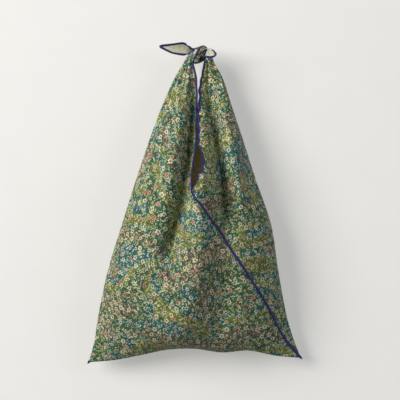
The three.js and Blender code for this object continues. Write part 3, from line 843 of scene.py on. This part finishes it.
# %% Helpers for the materials
def linear(hex_colour):
    """A linear RGBA colour from an sRGB hex value such as 0x7a8450."""
    channels = [(hex_colour >> shift & 255) / 255 for shift in (16, 8, 0)]
    return [c / 12.92 if c <= 0.04045 else ((c + 0.055) / 1.055) ** 2.4 for c in channels] + [1]


def node(tree, kind, inputs=None, output=0, stops=None, hard=False, **settings):
    """Adds a node, and gives one of its outputs.

    inputs maps a socket's name or number to a value, or to the output that is linked to it. stops
    are a colour ramp's pairs of a place and a hex colour, and hard keeps each up to the next.
    """
    made = tree.nodes.new("ShaderNode" + kind)
    for name, value in settings.items():
        setattr(made, name, value)
    for socket, value in (inputs or {}).items():
        if isinstance(value, bpy.types.NodeSocket):
            tree.links.new(value, made.inputs[socket])
        else:
            made.inputs[socket].default_value = value
    if stops:
        made.color_ramp.interpolation = "CONSTANT" if hard else "LINEAR"
        elements = made.color_ramp.elements
        while len(elements) < len(stops):
            elements.new(0.5)
        for element, (at, hex_colour) in zip(elements, stops):
            element.position, element.color = at, linear(hex_colour)
    return made.outputs[output] if made.outputs else None


def empty_graph(owner):
    """The node tree of a material or a world, with nothing in it yet."""
    owner.use_nodes = True
    owner.node_tree.nodes.clear()
    return owner.node_tree


FACTOR, UNDER, OVER = 0, 6, 7  # a Mix node's sockets for colours
COLOURS = {"data_type": "RGBA", "output": 2}
FLAT = {"noise_dimensions": "2D"}  # noise over a map has no need of depth
print("olive 0x7a8450 is", [round(c, 3) for c in linear(0x7A8450)])

# %% [markdown]
# ## Printed cotton lawn
# Lawn is a fine plain weave, printed all over with a small, scattered floral. The design here is a
# generic one: soft patches of olive, teal, green and taupe as the ground, then dots, leaves and
# round flowers that never line up. Each motif is one Voronoi cell. The cell's own point is the
# motif's middle, and its random colour picks how the motif is turned, how large it is and its dye.
# The graph reads the relaxed print map in millimetres, so that the motifs keep their size and break
# at a seam.

# %% The ground of the print
PATCHES_PER_MM = (0.0075, 0.018)  # a patch is about 130 mm long and 55 mm deep on the hung cloth
PATCH_TURN = math.radians(-52)  # the cloth hangs on the bias, so level patches lie at a slant on it
GROUND_DYES = [
    (0.0, 0x3C6144),
    (0.34, 0x46694C),
    (0.37, 0x747D38),
    (0.45, 0x808640),
    (0.47, 0x356F68),
    (0.53, 0x2B6874),
    (0.55, 0x426F50),
    (0.61, 0x536C4A),
    (0.63, 0x6E6653),
    (1.0, 0x756E5B),
]
UPTAKE_TONES = [(0.3, 0x3C3C3C), (0.7, 0xC4C4C4)]
UPTAKE_PER_MM, UPTAKE_SHOWS = 0.35, 0.5  # how fine the uneven dye is, and how much it shows


def print_ground(tree, mm):
    """The patches that the motifs are printed on, with the uneven uptake of the dye."""
    turned = node(tree, "Mapping", {"Vector": mm, "Rotation": (0, 0, PATCH_TURN)})
    stretched = node(tree, "Mapping", {"Vector": turned, "Scale": (*PATCHES_PER_MM, 1)})
    wandering = {"Vector": stretched, "Scale": 1, "Detail": 0.6, "Distortion": 0.9}
    patches = node(tree, "TexNoise", wandering, **FLAT)
    colour = node(tree, "ValToRGB", {"Fac": patches}, stops=GROUND_DYES)
    grain = node(tree, "TexNoise", {"Vector": mm, "Scale": UPTAKE_PER_MM, "Detail": 3}, **FLAT)
    tone = node(tree, "ValToRGB", {"Fac": grain}, stops=UPTAKE_TONES)
    inputs = {FACTOR: UPTAKE_SHOWS, UNDER: colour, OVER: tone}
    return node(tree, "Mix", inputs, **COLOURS, blend_type="SOFT_LIGHT")


print("patches of ground colour:", [round(1 / share) for share in PATCHES_PER_MM], "mm")

# %% Scatter motifs in cells
def scatter(tree, mm, spacing, randomness=0.8):
    """Cells about `spacing` mm apart: the place in a cell's own motif, then two random numbers."""
    inputs = {"Vector": mm, "Scale": 1 / spacing, "Randomness": randomness}
    cells = node(tree, "TexVoronoi", inputs, voronoi_dimensions="2D").node
    away = node(tree, "VectorMath", {0: mm, 1: cells.outputs["Position"]}, operation="SUBTRACT")
    lots = node(tree, "SeparateColor", {"Color": cells.outputs["Color"]}).node.outputs
    turn = node(tree, "Math", {0: lots["Red"], 1: 2 * math.pi}, operation="MULTIPLY")
    motif = node(tree, "VectorRotate", {"Vector": away, "Angle": turn}, rotation_type="Z_AXIS")
    return motif, lots["Green"], lots["Blue"]


def reach(tree, at, long, wide):
    """How far out a point is on an oval: 1 on its rim, which is long and wide from the middle."""
    scaled = node(tree, "VectorMath", {0: at, 1: (long, wide, 1)}, operation="DIVIDE")
    return node(tree, "VectorMath", {0: scaled}, "Value", operation="LENGTH")


def mask(tree, value, edge, soft, most=1):
    """`most` where the value is below the edge and 0 above it, with a soft step between."""
    short_of = node(tree, "Math", {0: edge, 1: value}, operation="SUBTRACT")
    step = node(tree, "Math", {0: short_of, 1: 1 / soft, 2: 0.5}, operation="MULTIPLY_ADD")
    shown = node(tree, "Clamp", {"Value": step})
    return node(tree, "Math", {0: shown, 1: most}, operation="MULTIPLY")


print("each motif is one cell, turned and sized at random")

# %% Dots and leaves
DOT_SPACING, DOT_HALF = 4.0, (1.25, 0.85)  # half its length and width, all in millimetres
DOT_SOFT, DOT_MOST = 0.5, 0.75  # how soft its rim is, and how strongly it is printed
DOT_DYES = [(0, 0xDEE0BC), (0.38, 0x7C9A7C), (0.54, 0x14261F), (0.86, 0xB7A584)]
LEAF_SPACING, LEAF_HALF, LEAF_BEND = 7.0, (4.2, 1.5), 0.1
LEAF_LEAST, LEAF_MORE = 0.55, 0.5  # the smallest leaf's share of that size, and what is added
LEAF_SOFT, LEAF_MOST = 0.25, 0.7
LEAF_DYES = [(0, 0xAEBA80), (0.26, 0x1A3029), (0.48, 0x86B2A2), (0.64, 0x334610), (0.8, 0xDCDEB8)]


def add_dots(tree, mm, under):
    """Fine dots, the smallest motif."""
    dot, _, dye = scatter(tree, mm, DOT_SPACING)
    shown = mask(tree, reach(tree, dot, *DOT_HALF), 1, DOT_SOFT, DOT_MOST)
    colour = node(tree, "ValToRGB", {"Fac": dye}, stops=DOT_DYES, hard=True)
    return node(tree, "Mix", {FACTOR: shown, UNDER: under, OVER: colour}, **COLOURS)


def add_leaves(tree, mm, under):
    """Narrow bent leaves, each a little longer or shorter than the next."""
    leaf, size, dye = scatter(tree, mm, LEAF_SPACING)
    split = node(tree, "SeparateXYZ", {"Vector": leaf}).node.outputs
    square = node(tree, "Math", {0: split["X"], 1: split["X"]}, operation="MULTIPLY")
    bent_y = node(tree, "Math", {0: square, 1: LEAF_BEND, 2: split["Y"]}, operation="MULTIPLY_ADD")
    bent = node(tree, "CombineXYZ", {"X": split["X"], "Y": bent_y})
    tip = node(tree, "Math", {0: size, 1: LEAF_MORE, 2: LEAF_LEAST}, operation="MULTIPLY_ADD")
    shown = mask(tree, reach(tree, bent, *LEAF_HALF), tip, LEAF_SOFT, LEAF_MOST)
    colour = node(tree, "ValToRGB", {"Fac": dye}, stops=LEAF_DYES, hard=True)
    return node(tree, "Mix", {FACTOR: shown, UNDER: under, OVER: colour}, **COLOURS)


print("dots", DOT_SPACING, "mm apart, leaves", LEAF_SPACING, "mm apart")

# %% A flower's outline
FLOWER_RADIUS = (2.4, 2.8)  # the smallest, and how much larger the largest is
PETALS = 5
PETAL_DEEP = 0.38  # how far the petals are parted, next to the flower's radius


def petal_radius(tree, flower, size):
    """How far out the flower's outline is, in the direction of each point."""
    split = node(tree, "SeparateXYZ", {"Vector": flower}).node.outputs
    round_it = node(tree, "Math", {0: split["Y"], 1: split["X"]}, operation="ARCTAN2")
    turns = node(tree, "Math", {0: round_it, 1: PETALS / 2}, operation="MULTIPLY")
    wave = node(tree, "Math", {0: turns}, operation="COSINE")
    lobes = node(tree, "Math", {0: wave}, operation="ABSOLUTE")
    inputs = {0: lobes, 1: PETAL_DEEP, 2: 1 - PETAL_DEEP}
    petals = node(tree, "Math", inputs, operation="MULTIPLY_ADD")
    least, more = FLOWER_RADIUS
    full = node(tree, "Math", {0: size, 1: more, 2: least}, operation="MULTIPLY_ADD")
    return node(tree, "Math", {0: petals, 1: full}, operation="MULTIPLY")


print("flowers up to", round(2 * sum(FLOWER_RADIUS), 1), "mm wide")

# %% Flowers
FLOWER_SPACING = 14.5
PETAL_SOFT = 0.5
SHADE_WIDE, SHADE_SOFT, SHADE_MOST = 0.7, 0.6, 0.55  # the dark rim round the petals
THROAT_SHARE, THROAT_SOFT, THROAT_MOST = 0.58, 1, 0.7  # the tint, as a share of the radius
EYE_RADIUS, EYE_SOFT = 1.35, 0.5
GAPS_PER_MM, GAP_EDGE, GAP_SOFT = 0.5, 0.565, 0.12  # the block print leaves gaps in the petals
FLOWER_RANDOMNESS = 0.7
FLOWER_DYES = [
    (0, 0xE6E4CA),
    (0.3, 0xC8DABE),
    (0.5, 0xD8AEA4),
    (0.64, 0xE4DEB0),
    (0.82, 0xC4887A),
    (0.88, 0xD6E0DA),
]
THROAT_DYES = [(0, 0xC08E54), (0.3, 0xC67C78), (0.6, 0xA8664C), (0.8, 0xC9A468)]
SHADE_DYE, EYE_DYE = 0x2C3A2E, 0x6E2E26


def add_flowers(tree, mm, under):
    """Flowers of five round petals with a dark rim, a tinted throat and a dark eye."""
    flower, size, dye = scatter(tree, mm, FLOWER_SPACING, FLOWER_RANDOMNESS)
    out_from = reach(tree, flower, 1, 1)
    radius = petal_radius(tree, flower, size)
    rim = node(tree, "Math", {0: radius, 1: SHADE_WIDE}, operation="ADD")
    shade = mask(tree, out_from, rim, SHADE_SOFT, SHADE_MOST)
    gaps = node(tree, "TexNoise", {"Vector": mm, "Scale": GAPS_PER_MM, "Detail": 2}, **FLAT)
    unbroken = mask(tree, gaps, GAP_EDGE, GAP_SOFT)
    petal = mask(tree, out_from, radius, PETAL_SOFT, unbroken)
    petal_dye = node(tree, "ValToRGB", {"Fac": dye}, stops=FLOWER_DYES, hard=True)
    throat_edge = node(tree, "Math", {0: radius, 1: THROAT_SHARE}, operation="MULTIPLY")
    throat = mask(tree, out_from, throat_edge, THROAT_SOFT, THROAT_MOST)
    throat_dye = node(tree, "ValToRGB", {"Fac": size}, stops=THROAT_DYES, hard=True)
    eye = mask(tree, out_from, EYE_RADIUS, EYE_SOFT)
    colour = under
    for shown, over in (
        (shade, linear(SHADE_DYE)),
        (petal, petal_dye),
        (throat, throat_dye),
        (eye, linear(EYE_DYE)),
    ):
        colour = node(tree, "Mix", {FACTOR: shown, UNDER: colour, OVER: over}, **COLOURS)
    return colour


print("flowers", FLOWER_SPACING, "mm apart")

# %% The weave
THREAD_SPACING = 1.5  # the real 0.25 mm is far too fine to show, so it is drawn coarser
WEAVE_TURN = 2 * math.pi / THREAD_SPACING
WEAVE_SHARE = 0.35  # how much the weave stands out, next to the slubs of uneven yarn


def weave_height(tree, mm, slubs):
    """Threads over and under each other, with the slubs of uneven yarn."""
    split = node(tree, "SeparateXYZ", {"Vector": mm}).node.outputs
    waves = []
    for axis in "XY":
        turns = node(tree, "Math", {0: split[axis], 1: WEAVE_TURN}, operation="MULTIPLY")
        waves.append(node(tree, "Math", {0: turns}, operation="SINE"))
    weave = node(tree, "Math", {0: waves[0], 1: waves[1]}, operation="MULTIPLY")
    inputs = {0: weave, 1: WEAVE_SHARE, 2: slubs}
    return node(tree, "Math", inputs, operation="MULTIPLY_ADD")


print("the weave is drawn", THREAD_SPACING, "mm apart")

# %% Cotton lawn, the printed side and the reverse
SLUBS_PER_MM, SLUBS_SHOW = 0.9, 0.3  # how fine the uneven yarn is, and how much it shows
SLUB_TONES = [(0.25, 0x5A5A5A), (0.75, 0xB4B4B4)]
SHOWN_THROUGH = 0.74  # lawn is printed on one side, and the dye only shows through to the other
REVERSE_DYE = 0xD2D0BA
COTTON = {  # matte, with a little fuzz, and so thin that some light comes through
    "Roughness": 0.85,
    "IOR": 1.5,
    "Specular IOR Level": 0.25,
    "Sheen Weight": 0.08,
    "Sheen Roughness": 0.5,
    "Subsurface Weight": 0.5,
    "Subsurface Radius": (1, 0.9, 0.7),
    "Subsurface Scale": 0.002,
}
COTTON_BUMP = {"Strength": 0.35, "Distance": 0.0004}


def finish_cotton(material, is_reverse):
    """Matte cotton: it scatters light, has a little fuzz, and its weave shows as a fine grain."""
    tree = empty_graph(material)
    cloth_map = node(tree, "UVMap", uv_map="print")
    mm = node(tree, "VectorMath", {0: cloth_map, 1: (STRIP_LENGTH_MM,) * 3}, operation="MULTIPLY")
    colour = print_ground(tree, mm)
    for add_motif in (add_dots, add_leaves, add_flowers):
        colour = add_motif(tree, mm, colour)
    if is_reverse:
        inputs = {FACTOR: SHOWN_THROUGH, UNDER: colour, OVER: linear(REVERSE_DYE)}
        colour = node(tree, "Mix", inputs, **COLOURS)
    slubs = node(tree, "TexNoise", {"Vector": mm, "Scale": SLUBS_PER_MM, "Detail": 4}, **FLAT)
    tone = node(tree, "ValToRGB", {"Fac": slubs}, stops=SLUB_TONES)
    inputs = {FACTOR: SLUBS_SHOW, UNDER: colour, OVER: tone}
    colour = node(tree, "Mix", inputs, **COLOURS, blend_type="SOFT_LIGHT")
    bump = node(tree, "Bump", {**COTTON_BUMP, "Height": weave_height(tree, mm, slubs)})
    shader = node(tree, "BsdfPrincipled", {**COTTON, "Base Color": colour, "Normal": bump})
    node(tree, "OutputMaterial", {"Surface": shader})


for slot, is_reverse in ((PRINTED_SLOT, False), (REVERSE_SLOT, True)):
    finish_cotton(cloth.data.materials[slot], is_reverse)
print("materials:", [m.name for m in cloth.data.materials])

# %% [markdown]
# ## Overlock thread
# The edging is spun polyester thread, dyed a deep violet. Its colour is painted lighter on each
# wrap and almost black between them, as painted highlight and painted shade, and it has a soft
# gloss that cotton lacks.

# %% Violet polyester thread
# Painted shade between two wraps, and a painted highlight on each wrap.
RIDGE_SHADE_AND_HIGHLIGHT = [(0, 0x0A0528), (1, 0x20126A)]  # between two wraps, and on a wrap
FADE_DYES = [(0.35, 0x0E0834), (0.7, 0x24186A)]
FADE_PER_METRE, FADE_SHOWS = 60, 0.35  # how fine the fading is, and how much it shows
THREAD = {"Roughness": 0.6, "Specular IOR Level": 0.3, "Sheen Weight": 0.05}  # a soft gloss
THREAD_BUMP = {"Strength": 0.6, "Distance": 0.0004}
WRAP_TURN = 2 * math.pi / (WRAP * MM)


def finish_thread(material):
    """Dyed thread laid side by side, slanting a little round the edge of the cloth, with painted
    shade between the wraps and a painted highlight on each.
    """
    tree = empty_graph(material)
    thread_map = node(tree, "UVMap", uv_map="thread")
    split = node(tree, "SeparateXYZ", {"Vector": thread_map}).node.outputs
    wraps = node(tree, "Math", {0: split["X"], 1: WRAP_TURN}, operation="MULTIPLY")
    slant = node(tree, "Math", {0: split["Y"], 1: 2 * math.pi, 2: wraps}, operation="MULTIPLY_ADD")
    wave = node(tree, "Math", {0: slant}, operation="SINE")
    ridge = node(tree, "Math", {0: wave, 1: 0.5, 2: 0.5}, operation="MULTIPLY_ADD")
    place_in_part = node(tree, "TexCoord", output="Object")
    fade = node(tree, "TexNoise", {"Vector": place_in_part, "Scale": FADE_PER_METRE, "Detail": 2})
    # Painted shade between the wraps and a painted highlight on each, from the ridge wave.
    ridge_shade_and_highlight = node(tree, "ValToRGB", {"Fac": ridge}, stops=RIDGE_SHADE_AND_HIGHLIGHT)
    faded = node(tree, "ValToRGB", {"Fac": fade}, stops=FADE_DYES)
    colour = node(tree, "Mix", {FACTOR: FADE_SHOWS, UNDER: ridge_shade_and_highlight, OVER: faded}, **COLOURS)
    bump = node(tree, "Bump", {**THREAD_BUMP, "Height": ridge})
    shader = node(tree, "BsdfPrincipled", {**THREAD, "Base Color": colour, "Normal": bump})
    node(tree, "OutputMaterial", {"Surface": shader})


violet_thread = bpy.data.materials.new("polyester_thread_violet")
finish_thread(violet_thread)
for band in bands.values():
    band.data.materials.append(violet_thread)
print("thread on", len(bands), "bands")

# %% [markdown]
# ## The room
# The bag hangs against a pale wall, in soft light from the left and a weaker, cooler light from the
# right. Both are wide lamps, so that the shadows on the wall have no edge. Only a camera in front
# sees the wall and the floor. All other rays pass through them, so a third lamp behind the wall can
# light the bag's back, for the views from there. A share of the wall's brightness is its own glow,
# which keeps it pale with no more light on the bag.

# %% Wall and floor
WALL_Y, WALL_SIZE = 0.042, 6
FLOOR_Z, FLOOR_SIZE = -0.95, 12
GLOW_SHARE, GLOW_STRENGTH = 0.4, 0.95
ROLLER_PER_METRE, ROLLER_TONE = 14, 0x040404  # how fine the roller's texture is, and how dark
PAINT = {"Roughness": 0.95, "Specular IOR Level": 0.1}


def room_material(name, hex_colour):
    """Matte wall paint, with a trace of roller texture, that only a camera in front of it sees."""
    material = bpy.data.materials.new(name)
    tree = empty_graph(material)
    at = node(tree, "TexCoord", output="Object")
    roller = node(tree, "TexNoise", {"Vector": at, "Scale": ROLLER_PER_METRE, "Detail": 3})
    tones = [(0.2, hex_colour - ROLLER_TONE), (0.8, hex_colour)]
    tone = node(tree, "ValToRGB", {"Fac": roller}, stops=tones)
    paint = node(tree, "BsdfPrincipled", {**PAINT, "Base Color": tone})
    glow = node(tree, "Emission", {"Color": linear(hex_colour), "Strength": GLOW_STRENGTH})
    lit = node(tree, "MixShader", {0: GLOW_SHARE, 1: paint, 2: glow})
    back = node(tree, "NewGeometry", output="Backfacing")
    in_front = node(tree, "Math", {0: 1, 1: back}, operation="SUBTRACT")
    camera_ray = node(tree, "LightPath", output="Is Camera Ray")
    seen = node(tree, "Math", {0: in_front, 1: camera_ray}, operation="MULTIPLY")
    shown = node(tree, "MixShader", {0: seen, 1: node(tree, "BsdfTransparent"), 2: lit})
    node(tree, "OutputMaterial", {"Surface": shown})
    return material


bpy.ops.mesh.primitive_plane_add(
    size=WALL_SIZE, location=(0, WALL_Y, 0), rotation=(math.radians(90), 0, 0)
)
wall = bpy.context.object
wall.name = "wall"
wall.data.materials.append(room_material("wall_paint_white", 0xF1F0ED))
bpy.ops.mesh.primitive_plane_add(size=FLOOR_SIZE, location=(0, 0, FLOOR_Z))
floor = bpy.context.object
floor.name = "floor"
floor.data.materials.append(room_material("floor_paint_white", 0xECEBE8))
print("wall at y =", WALL_Y, "m, floor at z =", FLOOR_Z, "m")

# %% Light
LIGHT_AIM = Vector((0, 0, -0.25))
AMBIENT, BACKDROP = (0xFBFBFD, 0.16), (0xF0F0EE, 1)  # colour and strength
LAMPS = [  # name, place, size, energy, colour
    ("window", (-2.9, -2.5, 1.1), 2.3, 196, 0xFFFDF8),
    ("room", (3.2, -2.1, 0.9), 1.8, 40, 0xF0F5FF),
    ("behind", (0, 3, 0.5), 2.2, 52, 0xFFFFFF),
]
for name, at, size, energy, hex_colour in LAMPS:
    aim = (Vector(at) - LIGHT_AIM).to_track_quat("Z", "Y").to_euler()
    bpy.ops.object.light_add(type="AREA", location=at, rotation=aim)
    lamp = bpy.context.object.data
    lamp.name, lamp.size, lamp.energy, lamp.color = name, size, energy, linear(hex_colour)[:3]
world = bpy.data.worlds.new("soft_room_light")
bpy.context.scene.world = world
tree = empty_graph(world)
rays = node(tree, "LightPath").node.outputs
seen = rays["Is Camera Ray"]
for kind in ("Glossy", "Transmission"):
    seen = node(tree, "Math", {0: seen, 1: rays[f"Is {kind} Ray"]}, operation="MAXIMUM")
ambient, backdrop = (
    node(tree, "Background", {"Color": linear(hex_colour), "Strength": strength})
    for hex_colour, strength in (AMBIENT, BACKDROP)
)
sky = node(tree, "MixShader", {0: seen, 1: ambient, 2: backdrop})
node(tree, "OutputWorld", {"Surface": sky})
print(len(LAMPS), "lamps")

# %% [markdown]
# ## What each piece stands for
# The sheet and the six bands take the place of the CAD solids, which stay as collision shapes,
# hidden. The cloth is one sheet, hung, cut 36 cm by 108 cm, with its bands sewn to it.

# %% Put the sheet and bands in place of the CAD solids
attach(cloth, "root")
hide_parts("bag_cloth")
for name, band in bands.items():
    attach(band, "root")
    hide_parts(name)
bpy.context.view_layer.update()
